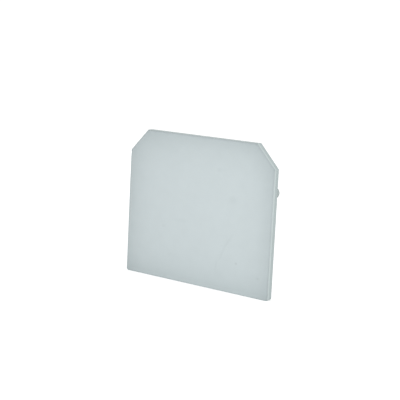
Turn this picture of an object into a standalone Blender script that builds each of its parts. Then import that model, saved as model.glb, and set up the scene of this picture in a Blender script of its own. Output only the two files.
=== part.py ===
"""End cover for a row of rail-mounted screw terminal blocks.

The cover is one flat plate of moulded polyamide. It closes the open side of
the last block of the row, and is held there by round pegs that press into
holes in the block's housing. Its outline is the outline of the housing: a
straight foot, straight sides, and a chamfer at each upper corner.

Frame: X runs along the cover's length, Y through its thickness and Z up.
The origin is the centre of the inner face, the one that lies on the block.
The plain outer face looks to -Y and the pegs point to +Y.
"""

import math

import bmesh
import bpy
from mathutils import Matrix

# Plate, in metres
COVER_LENGTH = 0.0425
COVER_HEIGHT = 0.0359
COVER_THICKNESS = 0.0018
CHAMFER_LENGTH = 0.0052
CHAMFER_DROP = 0.00545
FOOT_CORNER_RADIUS = 0.0005
UPPER_CORNER_RADIUS = 0.0003
FACE_EDGE_RADIUS = 0.00015

# Mould: the two halves meet half way through the thickness
DRAFT_ANGLE = math.radians(3.0)
PARTING_LAND = 0.00008

# Pegs
PEG_DIAMETER = 0.0028
PEG_LENGTH = 0.0022
PEG_TAPER = 0.00004
PEG_LEAD_IN = 0.0002
PEG_LEAD_IN_LENGTH = 0.0003
PEG_ROOT_FILLET = 0.0003
PEG_FROM_SIDE = 0.00215
PEG_BELOW_SHOULDER = 0.0058
FOOT_PEG_RISE = 0.0050

# Marks that the ejector pins leave on the inner face
EJECTOR_DIAMETER = 0.0025
EJECTOR_DEPTH = 0.00008
EJECTOR_FROM_SIDE = 0.0090
EJECTOR_FROM_TOP = 0.0090
EJECTOR_FROM_FOOT = 0.0080

# Fineness of the mesh
CORNER_SEGMENTS = 6
ROUND_SEGMENTS = 48
FILLET_SEGMENTS = 5
EDGE_SEGMENTS = 3

# Overlaps that let the Boolean operations cut and join cleanly
PEG_SUNK = 0.0005
FILLET_SUNK = 0.00003
CUTTER_PROUD = 0.0005

MERGE_DISTANCE = 0.0000001

HALF_LENGTH = COVER_LENGTH / 2
HALF_HEIGHT = COVER_HEIGHT / 2
SHOULDER_Z = HALF_HEIGHT - CHAMFER_DROP
PEG_X = HALF_LENGTH - PEG_FROM_SIDE
SIDE_PEG_Z = SHOULDER_Z - PEG_BELOW_SHOULDER
FOOT_PEG_Z = FOOT_PEG_RISE - HALF_HEIGHT
EJECTOR_X = HALF_LENGTH - EJECTOR_FROM_SIDE

# Drawn lying in XY, the cover is stood up with its top face turned to -Y
STAND_UP = Matrix.Rotation(math.radians(90), 4, "X")
# Drawn along Z, a round tool is turned to point along +Y
POINT_INWARD = Matrix.Rotation(math.radians(-90), 4, "X")


def clear_scene():
    for old in list(bpy.data.objects):
        bpy.data.objects.remove(old, do_unlink=True)


def new_collection(name):
    collection = bpy.data.collections.new(name)
    bpy.context.scene.collection.children.link(collection)
    return collection


def polyamide():
    """Uncoloured polyamide: milky grey, slightly translucent, fine matt finish."""
    material = bpy.data.materials.new("natural_polyamide")
    material.use_nodes = True
    shader = material.node_tree.nodes["Principled BSDF"]
    shader.inputs["Base Color"].default_value = (0.61, 0.68, 0.70, 1.0)
    shader.inputs["Roughness"].default_value = 0.5
    shader.inputs["Metallic"].default_value = 0.0
    shader.inputs["IOR"].default_value = 1.53
    return material


def corner_arc(before, corner, after, radius):
    """Points of an arc that rounds a corner of a counter-clockwise outline."""
    turn_in = math.atan2(corner[1] - before[1], corner[0] - before[0])
    turn_out = math.atan2(after[1] - corner[1], after[0] - corner[0])
    turn = (turn_out - turn_in) % math.tau
    reach = radius * math.tan(turn / 2)
    start = (corner[0] - reach * math.cos(turn_in), corner[1] - reach * math.sin(turn_in))
    centre = (start[0] - radius * math.sin(turn_in), start[1] + radius * math.cos(turn_in))
    points = []
    for step in range(CORNER_SEGMENTS + 1):
        angle = turn_in + turn * step / CORNER_SEGMENTS
        points.append((centre[0] + radius * math.sin(angle), centre[1] - radius * math.cos(angle)))
    return points


def cover_outline():
    """The housing's outline, counter-clockwise from the left foot."""
    top_half_length = HALF_LENGTH - CHAMFER_LENGTH
    corners = [
        (-HALF_LENGTH, -HALF_HEIGHT, FOOT_CORNER_RADIUS),
        (HALF_LENGTH, -HALF_HEIGHT, FOOT_CORNER_RADIUS),
        (HALF_LENGTH, SHOULDER_Z, UPPER_CORNER_RADIUS),
        (top_half_length, HALF_HEIGHT, UPPER_CORNER_RADIUS),
        (-top_half_length, HALF_HEIGHT, UPPER_CORNER_RADIUS),
        (-HALF_LENGTH, SHOULDER_Z, UPPER_CORNER_RADIUS),
    ]
    points = []
    for index, (x, y, radius) in enumerate(corners):
        before = corners[index - 1]
        after = corners[(index + 1) % len(corners)]
        points.extend(corner_arc(before, (x, y), after, radius))
    return points


def flat_blank(name, outline, thickness):
    """A closed flat blank in XY, from a filled 2D curve."""
    curve = bpy.data.curves.new(name, "CURVE")
    curve.dimensions = "2D"
    curve.fill_mode = "BOTH"
    curve.extrude = thickness / 2
    spline = curve.splines.new("POLY")
    spline.points.add(len(outline) - 1)
    for point, (x, y) in zip(spline.points, outline):
        point.co = (x, y, 0.0, 1.0)
    spline.use_cyclic_u = True
    drawing = bpy.data.objects.new(name + "_drawing", curve)
    bpy.context.scene.collection.objects.link(drawing)
    evaluated = drawing.evaluated_get(bpy.context.evaluated_depsgraph_get())
    mesh = bpy.data.meshes.new_from_object(evaluated)
    bpy.data.objects.remove(drawing, do_unlink=True)
    mesh.name = name
    return mesh


def cover_plate(parts, material):
    """The plate: a thin blank at the parting plane, drawn out with draft both ways."""
    mesh = flat_blank("end_cover", cover_outline(), PARTING_LAND)
    mould_depth = (COVER_THICKNESS - PARTING_LAND) / 2
    shell = bmesh.new()
    shell.from_mesh(mesh)
    bmesh.ops.remove_doubles(shell, verts=shell.verts, dist=MERGE_DISTANCE)
    bmesh.ops.recalc_face_normals(shell, faces=shell.faces)
    for side in (1, -1):
        triangles = [face for face in shell.faces if face.normal.z * side > 0.9]
        blank_face = bmesh.ops.dissolve_faces(shell, faces=triangles)["region"]
        bmesh.ops.inset_region(
            shell,
            faces=blank_face,
            use_boundary=True,
            use_even_offset=True,
            thickness=mould_depth * math.tan(DRAFT_ANGLE),
            depth=mould_depth,
        )
    shell.to_mesh(mesh)
    shell.free()
    mesh.transform(STAND_UP)
    mesh.shade_smooth()
    mesh.materials.append(material)

    plate = bpy.data.objects.new("end_cover", mesh)
    plate.location.y = -COVER_THICKNESS / 2
    parts.objects.link(plate)

    softened = plate.modifiers.new("face edges", "BEVEL")
    softened.limit_method = "ANGLE"
    softened.angle_limit = math.radians(40)
    softened.width = FACE_EDGE_RADIUS
    softened.segments = EDGE_SEGMENTS
    return plate


def peg_profile():
    """Half section of a peg, from the middle of its tip down to its sunk foot."""
    root_radius = PEG_DIAMETER / 2
    tip_radius = root_radius - PEG_TAPER
    points = [
        (0.0, PEG_LENGTH),
        (tip_radius - PEG_LEAD_IN, PEG_LENGTH),
        (tip_radius, PEG_LENGTH - PEG_LEAD_IN_LENGTH),
    ]
    for step in range(FILLET_SEGMENTS + 1):
        angle = math.pi + math.pi / 2 * step / FILLET_SEGMENTS
        radius = root_radius + PEG_ROOT_FILLET * (1 + math.cos(angle))
        rise = PEG_ROOT_FILLET * (1 + math.sin(angle)) - FILLET_SUNK
        points.append((radius, rise))
    points.append((root_radius + PEG_ROOT_FILLET, -PEG_SUNK))
    points.append((0.0, -PEG_SUNK))
    return points


def turned_tool(name, profile, x, z, tools):
    """A turned shape on the inner face, to be joined to the plate or cut from it."""
    mesh = bpy.data.meshes.new(name)
    edges = [(i, i + 1) for i in range(len(profile) - 1)]
    mesh.from_pydata([(radius, 0.0, rise) for radius, rise in profile], edges, [])
    tool = bpy.data.objects.new(name, mesh)
    tool.matrix_world = Matrix.Translation((x, 0.0, z)) @ POINT_INWARD
    tool.hide_render = True
    tool.display_type = "WIRE"
    tools.objects.link(tool)

    turned = tool.modifiers.new("turned", "SCREW")
    turned.steps = ROUND_SEGMENTS
    turned.render_steps = ROUND_SEGMENTS
    turned.use_merge_vertices = True
    turned.merge_threshold = MERGE_DISTANCE
    turned.use_smooth_shade = True
    return tool


def boolean(plate, tool, operation):
    step = plate.modifiers.new(tool.name, "BOOLEAN")
    step.operation = operation
    step.solver = "EXACT"
    step.object = tool


def main():
    clear_scene()
    parts = new_collection("terminal_block_end_cover")
    tools = new_collection("cutters")
    plate = cover_plate(parts, polyamide())

    places = {
        "peg_left": (-PEG_X, SIDE_PEG_Z),
        "peg_right": (PEG_X, SIDE_PEG_Z),
        "peg_foot": (0.0, FOOT_PEG_Z),
    }
    for name, (x, z) in places.items():
        boolean(plate, turned_tool(name, peg_profile(), x, z, tools), "UNION")

    ejector_radius = EJECTOR_DIAMETER / 2
    ejector_profile = [
        (0.0, CUTTER_PROUD),
        (ejector_radius, CUTTER_PROUD),
        (ejector_radius, -EJECTOR_DEPTH),
        (0.0, -EJECTOR_DEPTH),
    ]
    upper_z = HALF_HEIGHT - EJECTOR_FROM_TOP
    lower_z = EJECTOR_FROM_FOOT - HALF_HEIGHT
    for side, x in (("left", -EJECTOR_X), ("right", EJECTOR_X)):
        for level, z in (("upper", upper_z), ("lower", lower_z)):
            name = f"ejector_{level}_{side}"
            boolean(plate, turned_tool(name, ejector_profile, x, z, tools), "DIFFERENCE")


main()
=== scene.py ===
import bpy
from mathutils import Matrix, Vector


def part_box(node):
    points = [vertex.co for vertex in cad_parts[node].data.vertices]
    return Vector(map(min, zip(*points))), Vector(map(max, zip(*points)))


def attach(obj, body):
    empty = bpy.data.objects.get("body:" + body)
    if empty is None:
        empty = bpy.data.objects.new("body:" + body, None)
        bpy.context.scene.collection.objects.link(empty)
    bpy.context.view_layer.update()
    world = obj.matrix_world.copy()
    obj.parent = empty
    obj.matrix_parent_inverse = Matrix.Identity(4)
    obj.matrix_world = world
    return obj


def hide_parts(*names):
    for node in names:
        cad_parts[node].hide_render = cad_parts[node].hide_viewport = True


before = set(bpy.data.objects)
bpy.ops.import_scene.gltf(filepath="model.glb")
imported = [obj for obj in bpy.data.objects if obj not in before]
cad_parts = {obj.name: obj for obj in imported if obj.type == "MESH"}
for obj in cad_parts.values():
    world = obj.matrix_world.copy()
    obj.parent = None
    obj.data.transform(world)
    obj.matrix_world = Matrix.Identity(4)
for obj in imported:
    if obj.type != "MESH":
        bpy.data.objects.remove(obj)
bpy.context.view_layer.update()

import math

import bmesh
import bpy
from mathutils import Quaternion, Vector

# Cover plate
# The plate is one shot of uncoloured polyamide from a two-part mould. Its outline is that of the
# terminal housing that it closes: straight foot and sides, and a chamfer at each upper corner.
mm = 0.001
box_low, box_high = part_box("end_cover")
half_length = (box_high.x - box_low.x) / 2
half_height = (box_high.z - box_low.z) / 2
outer_y = box_low.y
inner_y = 0.0
middle_y = (outer_y + inner_y) / 2
chamfer_length = 5.2 * mm
chamfer_drop = 5.45 * mm
foot_corner_radius = 0.5 * mm
upper_corner_radius = 0.3 * mm
face_edge_radius = 0.15 * mm
foot_corner_steps = 8
upper_corner_steps = 4
face_edge_steps = 4
parting_land = 0.08 * mm
draft_angle = math.radians(3.0)
# Two places that lie closer than this are at one depth or height
hair = 0.001 * mm


def select_edges(piece, wanted):
    """In edit mode, leaves selected just the edges for which wanted(end, other end) is true."""
    bpy.ops.mesh.select_mode(type="EDGE")
    bpy.ops.mesh.select_all(action="DESELECT")
    shape = bmesh.from_edit_mesh(piece.data)
    for edge in shape.edges:
        edge.select_set(wanted(edge.verts[0].co, edge.verts[1].co))
    bmesh.update_edit_mesh(piece.data)


def select_faces(piece, wanted):
    """In edit mode, leaves selected just the faces for which wanted(centre) is true."""
    bpy.ops.mesh.select_mode(type="FACE")
    bpy.ops.mesh.select_all(action="DESELECT")
    shape = bmesh.from_edit_mesh(piece.data)
    for face in shape.faces:
        face.select_set(wanted(face.calc_center_median()))
    bmesh.update_edit_mesh(piece.data)


bpy.ops.object.select_all(action="DESELECT")
bpy.ops.mesh.primitive_cube_add(
    size=1,
    location=(0, middle_y, 0),
    scale=(2 * half_length, inner_y - outer_y, 2 * half_height),
)
cover = bpy.context.object
cover.name = "moulded_cover"
bpy.ops.object.transform_apply(location=True, rotation=True, scale=True)
bpy.ops.object.mode_set(mode="EDIT")

# The two upper corners are cut off
for side in (-1, 1):
    bpy.ops.mesh.select_all(action="SELECT")
    bpy.ops.mesh.bisect(
        plane_co=(side * (half_length - chamfer_length), middle_y, half_height),
        plane_no=Vector((side * chamfer_drop, 0, chamfer_length)).normalized(),
        use_fill=True,
        clear_outer=True,
    )

# All six corners of the outline are rounded, the upper four only slightly. At each end of a chamfer
# the outline turns by about 45 degrees.
select_edges(cover, lambda a, b: abs(a.y - b.y) > hair and a.z < -half_height + hair)
bpy.ops.mesh.bevel(offset=foot_corner_radius, segments=foot_corner_steps, affect="EDGES")
upper_turn = math.radians(45)
select_edges(cover, lambda a, b: abs(a.y - b.y) > hair and a.z > half_height - chamfer_drop - hair)
bpy.ops.mesh.bevel(
    offset=upper_corner_radius * math.tan(upper_turn / 2),
    segments=upper_corner_steps,
    affect="EDGES",
)

# The mould parts half way through the thickness, and both halves taper away from there
for side in (-1, 1):
    bpy.ops.mesh.select_all(action="SELECT")
    bpy.ops.mesh.bisect(
        plane_co=(0, middle_y + side * parting_land / 2, 0),
        plane_no=(0, 1, 0),
    )
taper = math.tan(draft_angle) * (inner_y - outer_y - parting_land) / 2
for face_y in (outer_y, inner_y):
    select_faces(cover, lambda centre: abs(centre.y - face_y) < hair)
    bpy.ops.transform.resize(
        value=(1 - taper / half_length, 1, 1 - taper / half_height),
        center_override=(0, face_y, 0),
    )

# The borders of both faces are softened
for face_y in (outer_y, inner_y):
    select_edges(cover, lambda a, b: abs(a.y - face_y) < hair and abs(b.y - face_y) < hair)
    bpy.ops.mesh.bevel(offset=face_edge_radius, segments=face_edge_steps, affect="EDGES")
bpy.ops.object.mode_set(mode="OBJECT")

# Pegs
# Three round pegs are moulded with the plate, with a small fillet at the root and a chamfer at the
# tip. They press into holes in the housing. Two stand under the shoulders and one above the foot.
peg_tip_y = box_high.y
peg_radius = 1.4 * mm
peg_taper = 0.04 * mm
peg_lead_in = 0.2 * mm
peg_lead_in_length = 0.3 * mm
peg_root_fillet = 0.3 * mm
fillet_steps = 6
peg_from_side = 2.15 * mm
peg_below_shoulder = 5.8 * mm
foot_peg_rise = 5.0 * mm
round_sides = 64
# Each peg starts inside the plate, so that the two join cleanly
peg_fillet_sunk = 0.03 * mm
peg_sunk = 0.5 * mm
side_peg_z = half_height - chamfer_drop - peg_below_shoulder
peg_places = {
    "left": (peg_from_side - half_length, side_peg_z),
    "right": (half_length - peg_from_side, side_peg_z),
    "foot": (0.0, foot_peg_rise - half_height),
}

# The rings of a peg, each with its depth and radius, from the sunk foot up the fillet to the tip
peg_rings = [(inner_y - peg_sunk, peg_radius + peg_root_fillet)]
for step in range(fillet_steps, -1, -1):
    angle = math.pi / 2 * step / fillet_steps
    peg_rings.append(
        (
            inner_y - peg_fillet_sunk + peg_root_fillet * (1 - math.sin(angle)),
            peg_radius + peg_root_fillet * (1 - math.cos(angle)),
        )
    )
peg_rings.append((peg_tip_y - peg_lead_in_length, peg_radius - peg_taper))
peg_rings.append((peg_tip_y, peg_radius - peg_taper - peg_lead_in))


def turned_tool(name, x, z, rings):
    """A round solid along Y, drawn out of a disc ring by ring."""
    bpy.ops.object.select_all(action="DESELECT")
    start_y, radius = rings[0]
    bpy.ops.mesh.primitive_circle_add(
        vertices=round_sides,
        radius=radius,
        fill_type="NGON",
        location=(x, start_y, z),
        rotation=(math.pi / 2, 0, 0),
    )
    tool = bpy.context.object
    tool.name = name
    bpy.ops.object.transform_apply(location=True, rotation=True, scale=True)
    bpy.ops.object.mode_set(mode="EDIT")
    bpy.ops.mesh.select_all(action="SELECT")
    y = start_y
    for next_y, next_radius in rings[1:]:
        bpy.ops.mesh.extrude_region_move(TRANSFORM_OT_translate={"value": (0, next_y - y, 0)})
        if next_radius != radius:
            growth = next_radius / radius
            bpy.ops.transform.resize(value=(growth, 1, growth), center_override=(x, next_y, z))
        y = next_y
        radius = next_radius
    bpy.ops.mesh.select_all(action="SELECT")
    bpy.ops.mesh.normals_make_consistent(inside=False)
    bpy.ops.object.mode_set(mode="OBJECT")
    return tool


def combine(piece, tool, operation):
    """Joins the tool to the piece, or cuts it out, and removes the tool."""
    bpy.context.view_layer.objects.active = piece
    step = piece.modifiers.new(tool.name, "BOOLEAN")
    step.operation = operation
    step.solver = "EXACT"
    step.object = tool
    bpy.ops.object.modifier_apply(modifier=step.name)
    bpy.data.objects.remove(tool, do_unlink=True)


for name, (x, z) in peg_places.items():
    combine(cover, turned_tool("peg_" + name, x, z, peg_rings), "UNION")

# Ejector marks
# Four round pins pushed the cover out of its mould, and the flat end of each left a shallow dent in
# the inner face. The tools that cut the dents stand out of that face.
ejector_radius = 1.25 * mm
ejector_depth = 0.08 * mm
ejector_from_side = 9.0 * mm
ejector_from_top = 9.0 * mm
ejector_from_foot = 8.0 * mm
ejector_proud = 0.5 * mm
ejector_x = half_length - ejector_from_side
for x in (-ejector_x, ejector_x):
    for z in (half_height - ejector_from_top, ejector_from_foot - half_height):
        rings = [(inner_y - ejector_depth, ejector_radius), (inner_y + ejector_proud, ejector_radius)]
        combine(cover, turned_tool("ejector", x, z, rings), "DIFFERENCE")

# The cover is whole now. Its roundings are shaded smooth, and its flat faces stay flat.
smooth_angle = math.radians(30)
bpy.ops.object.select_all(action="DESELECT")
cover.select_set(True)
bpy.context.view_layer.objects.active = cover
bpy.ops.object.shade_smooth_by_angle(angle=smooth_angle)
evened = cover.modifiers.new("even normals", "WEIGHTED_NORMAL")
evened.keep_sharp = True
bpy.ops.object.modifier_apply(modifier=evened.name)

# Natural polyamide
# Uncoloured polyamide is milky and lets some light through, so the cover looks paler in the middle
# than along its borders, where light leaks out. That border darkening is painted shade. The mould
# leaves a fine matt grain.


def linear(code):
    """A linear colour from an sRGB hex code."""
    shares = [int(code[i : i + 2], 16) / 255 for i in (1, 3, 5)]
    return tuple(s / 12.92 if s <= 0.04045 else ((s + 0.055) / 1.055) ** 2.4 for s in shares) + (1.0,)


def add_node(tree, kind, inputs=None, **settings):
    """Adds a node with its settings. An input is a value, or the node or socket that feeds it."""
    made = tree.nodes.new(kind)
    for name, value in settings.items():
        setattr(made, name, value)
    for socket, value in (inputs or {}).items():
        if isinstance(value, bpy.types.Node):
            value = value.outputs[0]
        if isinstance(value, bpy.types.NodeSocket):
            tree.links.new(value, made.inputs[socket])
        else:
            made.inputs[socket].default_value = value
    return made


polyamide = bpy.data.materials.new("natural_polyamide_moulded")
polyamide.use_nodes = True
tree = polyamide.node_tree
shader = tree.nodes["Principled BSDF"]
place = add_node(tree, "ShaderNodeTexCoord").outputs["Object"]
x, y, z = add_node(tree, "ShaderNodeSeparateXYZ", {0: place}).outputs

# How far a point lies inside the sides, the foot, the top and the chamfers. The cover's two halves
# are alike, so that all is measured in one of them.
beside_middle = add_node(tree, "ShaderNodeMath", {0: x}, operation="ABSOLUTE")
from_side = add_node(tree, "ShaderNodeMath", {0: half_length, 1: beside_middle}, operation="SUBTRACT")
from_foot = add_node(tree, "ShaderNodeMath", {0: half_height, 1: z}, operation="ADD")
from_top = add_node(tree, "ShaderNodeMath", {0: half_height, 1: z}, operation="SUBTRACT")
chamfer_normal = Vector((chamfer_drop, 0.0, chamfer_length)).normalized()
chamfer_reach = chamfer_normal.dot(Vector((half_length, 0.0, half_height - chamfer_drop)))
one_half = add_node(tree, "ShaderNodeCombineXYZ", {"X": beside_middle, "Z": z})
towards_chamfer = add_node(
    tree,
    "ShaderNodeVectorMath",
    {0: one_half, 1: chamfer_normal},
    operation="DOT_PRODUCT",
).outputs["Value"]
from_chamfer = add_node(
    tree,
    "ShaderNodeMath",
    {0: chamfer_reach, 1: towards_chamfer},
    operation="SUBTRACT",
)

# How far it lies from the nearer of the two faces
from_inner_face = add_node(tree, "ShaderNodeMath", {0: y, 1: inner_y}, operation="SUBTRACT")
from_inner_face = add_node(tree, "ShaderNodeMath", {0: from_inner_face}, operation="ABSOLUTE")
from_outer_face = add_node(tree, "ShaderNodeMath", {0: y, 1: outer_y}, operation="SUBTRACT")
nearer_face = add_node(
    tree,
    "ShaderNodeMath",
    {0: from_inner_face, 1: from_outer_face},
    operation="MINIMUM",
)

# Painted shade along the borders: each border darkens the colour by a share that stands in for light
# leaking out, less and less towards the middle of the cover, and a narrow line of painted shade
# follows its edges. The line is strongest at the top and faintest at the foot. Both fade on the wall,
# away from the faces. Each border has the share that leaks out and the share that its line takes.
leak_depth = 3.5 * mm
leak_flat = 1.1 * mm
leak_wall_depth = 0.5 * mm
edge_shade_width = 0.2 * mm
edge_shade_wall_depth = 0.15 * mm
border_losses = [
    (from_side, 0.14, 0.38),
    (from_foot, 0.14, 0.12),
    (from_top, 0.14, 0.5),
    (from_chamfer, 0.05, 0.32),
]
leak_fade = add_node(
    tree,
    "ShaderNodeMath",
    {0: nearer_face, 1: -1 / leak_wall_depth},
    operation="MULTIPLY",
)
edge_shade_fade = add_node(
    tree,
    "ShaderNodeMath",
    {0: nearer_face, 1: -1 / edge_shade_wall_depth},
    operation="MULTIPLY",
)
kept = 1.0
# Each border's painted leak shade and painted edge line darken the colour
for distance, leak_share, edge_shade_share in border_losses:
    inside = add_node(tree, "ShaderNodeMath", {0: distance, 1: leak_flat}, operation="SUBTRACT")
    inside = add_node(tree, "ShaderNodeMath", {0: inside, 1: 0.0}, operation="MAXIMUM")
    leak = add_node(
        tree,
        "ShaderNodeMath",
        {0: inside, 1: -1 / leak_depth, 2: leak_fade},
        operation="MULTIPLY_ADD",
    )
    edge_shade = add_node(
        tree,
        "ShaderNodeMath",
        {0: distance, 1: -1 / edge_shade_width, 2: edge_shade_fade},
        operation="MULTIPLY_ADD",
    )
    for fall, share in ((leak, leak_share), (edge_shade, edge_shade_share)):
        lost = add_node(tree, "ShaderNodeMath", {0: fall}, operation="EXPONENT")
        left = add_node(tree, "ShaderNodeMath", {0: lost, 1: -share, 2: 1.0}, operation="MULTIPLY_ADD")
        kept = add_node(tree, "ShaderNodeMath", {0: kept, 1: left}, operation="MULTIPLY")

# The melt set unevenly, which leaves the milky colour very slightly cloudy
cloud_size = 2.6 * mm
cloud_loss = 0.025
clouds = add_node(
    tree,
    "ShaderNodeTexNoise",
    {"Vector": place, "Scale": 1 / cloud_size, "Detail": 2.0, "Roughness": 0.5},
)
clouded = add_node(
    tree,
    "ShaderNodeMapRange",
    {
        "Value": clouds.outputs["Fac"],
        "From Min": 0.25,
        "From Max": 0.75,
        "To Min": 1.0 - cloud_loss,
        "To Max": 1.0,
    },
)
kept = add_node(tree, "ShaderNodeMath", {0: kept, 1: clouded}, operation="MULTIPLY")

# Handling left faint marks on the outer face: a curved scratch, drawn in three strokes, two specks
# and some smudges. Each has its place from the middle and from the foot, its length and width in
# mm, its slope in degrees and the share of light that it takes. It is darkest in its middle, and
# fades out a little way outside its outline.
marks = [
    ((9.5, 12.2), (3.8, 0.7), 55.0, 0.042),
    ((7.9, 9.2), (4.0, 0.7), 66.0, 0.042),
    ((6.3, 6.1), (3.0, 0.6), 82.0, 0.035),
    ((12.0, 7.3), (0.7, 0.6), 0.0, 0.13),
    ((5.9, 28.6), (1.4, 0.9), 0.0, 0.05),
    ((10.1, 22.1), (2.4, 1.7), 0.0, 0.045),
    ((18.3, 4.8), (1.0, 0.7), 0.0, 0.07),
    ((-9.9, 13.0), (1.2, 0.8), 0.0, 0.04),
    ((-7.6, 6.3), (1.2, 0.8), 0.0, 0.02),
    ((-4.8, 15.1), (4.5, 1.0), 0.0, 0.03),
]
mark_depth = 0.2 * mm
mark_fade_end = 1.6
for (mark_x, mark_z), (length, width), slope, strength in marks:
    inside_mark = add_node(
        tree,
        "ShaderNodeMapping",
        {
            "Vector": place,
            "Location": (mark_x * mm, outer_y, mark_z * mm - half_height),
            "Rotation": (0.0, -math.radians(slope), 0.0),
            "Scale": (length / 2 * mm, mark_depth, width / 2 * mm),
        },
        vector_type="TEXTURE",
    )
    reach = add_node(
        tree,
        "ShaderNodeVectorMath",
        {0: inside_mark},
        operation="LENGTH",
    ).outputs["Value"]
    unmarked = add_node(
        tree,
        "ShaderNodeMapRange",
        {"Value": reach, "From Max": mark_fade_end, "To Min": 1.0 - strength, "To Max": 1.0},
        interpolation_type="SMOOTHSTEP",
    )
    kept = add_node(tree, "ShaderNodeMath", {0: kept, 1: unmarked}, operation="MULTIPLY")

# From the outer face inwards: that face, the wall's front and back halves, the floor of the ejector
# marks, the inner face, and the roots, sides and ends of the pegs. The wall's lighter front half is
# painted light and its darker back half painted shade, and the pegs' darker sides are painted shade.
# The floor of the ejector marks is a little darker than the faces, and the pegs' ends are lighter.
peg_end_band = 0.03 * mm
band_colours = [
    (outer_y, "#CDD7D9"),
    # The wall's front half, lighter: painted light
    (-1.65 * mm, "#D1DCDC"),
    (-1.4 * mm, "#D1DCDC"),
    # The wall's back half, darker: painted shade
    (-1.1 * mm, "#B4C0C0"),
    (-0.2 * mm, "#B7C3C3"),
    (inner_y - ejector_depth, "#C6D1D2"),
    (inner_y, "#CDD7D9"),
    (peg_root_fillet, "#BCC7C8"),
    # The pegs' sides, darker: painted shade
    (1.0 * mm, "#ADB7B6"),
    (peg_tip_y - peg_end_band, "#ADB7B6"),
    (peg_tip_y, "#C5CFD0"),
]
bands_end = band_colours[-1][0]
depth = add_node(
    tree,
    "ShaderNodeMapRange",
    {"Value": y, "From Min": outer_y, "From Max": bands_end},
)
bands = add_node(tree, "ShaderNodeValToRGB", {0: depth})
stops = bands.color_ramp.elements
stops.remove(stops[1])
stops[0].color = linear(band_colours[0][1])
for band_y, code in band_colours[1:]:
    stop = stops.new((band_y - outer_y) / (bands_end - outer_y))
    stop.color = linear(code)

# Where the painted shade, the clouds or the marks take light, the milky colour sinks towards a deep
# green. In this mixing node, inputs 6 and 7 and output 2 are the colours.
shade_and_mark_colour = "#003335"
shaded_and_marked = add_node(
    tree,
    "ShaderNodeMix",
    {"Factor": kept, 6: linear(shade_and_mark_colour), 7: bands},
    data_type="RGBA",
)
tree.links.new(shaded_and_marked.outputs[2], shader.inputs["Base Color"])

# The grain of a matt mould is a few hundredths of a millimetre wide. A pixel of the render covers
# about a quarter of a millimetre, so the grain is drawn coarse enough to show.
grain_size = 0.35 * mm
grain_depth = 0.02 * mm
smoothest = 0.46
roughest = 0.58
grain = add_node(
    tree,
    "ShaderNodeTexNoise",
    {"Vector": place, "Scale": 1 / grain_size, "Detail": 3.0, "Roughness": 0.6},
)
grain_relief = add_node(
    tree,
    "ShaderNodeBump",
    {"Height": grain.outputs["Fac"], "Strength": 0.12, "Distance": grain_depth},
)
tree.links.new(grain_relief.outputs["Normal"], shader.inputs["Normal"])
roughness = add_node(
    tree,
    "ShaderNodeMapRange",
    {"Value": grain.outputs["Fac"], "To Min": smoothest, "To Max": roughest},
)
tree.links.new(roughness.outputs[0], shader.inputs["Roughness"])
shader.inputs["IOR"].default_value = 1.53
shader.inputs["Metallic"].default_value = 0.0

cover.data.materials.clear()
cover.data.materials.append(polyamide)
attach(cover, "root")
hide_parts("end_cover")

# Floor
# A wide table top in matt white paint, four metres across. What the camera sees of it glows to just
# past white, so that it shows no noise, and it keeps the cover's soft shadow.
floor_size = 4.0
floor_glow = 0.45


def seen_by_camera(tree):
    """A node that is 1 where the camera looks, straight, mirrored or through a surface, and else 0."""
    ray = add_node(tree, "ShaderNodeLightPath")
    straight_or_mirrored = add_node(
        tree,
        "ShaderNodeMath",
        {0: ray.outputs["Is Camera Ray"], 1: ray.outputs["Is Glossy Ray"]},
        operation="MAXIMUM",
    )
    return add_node(
        tree,
        "ShaderNodeMath",
        {0: straight_or_mirrored, 1: ray.outputs["Is Transmission Ray"]},
        operation="MAXIMUM",
    )


bpy.ops.object.select_all(action="DESELECT")
bpy.ops.mesh.primitive_plane_add(size=floor_size, location=(0, 0, box_low.z))
floor = bpy.context.object
floor.name = "white_floor"
floor_paint = bpy.data.materials.new("white_table_top")
floor_paint.use_nodes = True
floor_tree = floor_paint.node_tree
floor_shader = floor_tree.nodes["Principled BSDF"]
floor_shader.inputs["Base Color"].default_value = linear("#F0F0F0")
floor_shader.inputs["Roughness"].default_value = 0.9
floor_shader.inputs["Specular IOR Level"].default_value = 0.0
glow = add_node(
    floor_tree,
    "ShaderNodeMath",
    {0: seen_by_camera(floor_tree), 1: floor_glow},
    operation="MULTIPLY",
)
floor_shader.inputs["Emission Color"].default_value = linear("#FFFFFF")
floor_tree.links.new(glow.outputs[0], floor_shader.inputs["Emission Strength"])
floor.data.materials.append(floor_paint)

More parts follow.
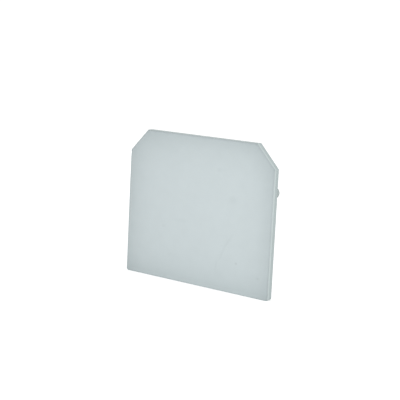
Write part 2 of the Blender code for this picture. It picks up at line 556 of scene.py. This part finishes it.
# Light
# An even white room, one large soft lamp in front and to the right of the cover, and a weaker one
# behind it and to the left. The room looks a little brighter than white and lights a little less.
room_light_level = 0.75
room_seen_level = 1.1
room = bpy.data.worlds.new("white_room")
bpy.context.scene.world = room
room.use_nodes = True
room_tree = room.node_tree
room_light = room_tree.nodes["Background"]
room_strength = add_node(
    room_tree,
    "ShaderNodeMapRange",
    {"Value": seen_by_camera(room_tree), "To Min": room_light_level, "To Max": room_seen_level},
)
room_light.inputs["Color"].default_value = linear("#FFFFFF")
room_tree.links.new(room_strength.outputs[0], room_light.inputs["Strength"])


def soft_lamp(name, place, width, power):
    """A square lamp that faces the middle of the cover, in metres and watts."""
    lamp = bpy.data.lights.new(name, "AREA")
    lamp.shape = "SQUARE"
    lamp.size = width
    lamp.energy = power
    holder = bpy.data.objects.new(name, lamp)
    bpy.context.collection.objects.link(holder)
    holder.location = place
    holder.rotation_euler = (-Vector(place)).to_track_quat("-Z", "Y").to_euler()


soft_lamp("front_lamp", (0.2, -0.2, 0.075), 0.15, 0.29)
soft_lamp("back_lamp", (-0.23, 0.16, 0.0), 0.06, 0.17)

# Camera
# The cover is seen from the front, to its right and a little above, with the camera leaning a few
# degrees to one side. These values come from the slopes and lengths of the cover's edges in the
# photograph. The focal length is in millimetres, for a sensor 36 mm wide.
camera_azimuth = math.radians(36.69)
camera_elevation = math.radians(9.295)
camera_lean = math.radians(2.845)
camera_distance = 266.05 * mm
camera_target = Vector((0.03 * mm, middle_y, 2.64 * mm))
focal_length = 100.79
to_camera = Vector(
    (
        math.sin(camera_azimuth) * math.cos(camera_elevation),
        -math.cos(camera_azimuth) * math.cos(camera_elevation),
        math.sin(camera_elevation),
    )
)
lens = bpy.data.cameras.new("camera")
lens.sensor_width = 36.0
lens.lens = focal_length
lens.clip_start = 0.01
lens.clip_end = 10.0
camera = bpy.data.objects.new("camera", lens)
bpy.context.collection.objects.link(camera)
camera.location = camera_target + camera_distance * to_camera
camera.rotation_mode = "QUATERNION"
upright = (-to_camera).to_track_quat("-Z", "Y")
camera.rotation_quaternion = Quaternion(to_camera, camera_lean) @ upright
bpy.context.scene.camera = camera
bpy.context.scene.view_settings.view_transform = "Standard"
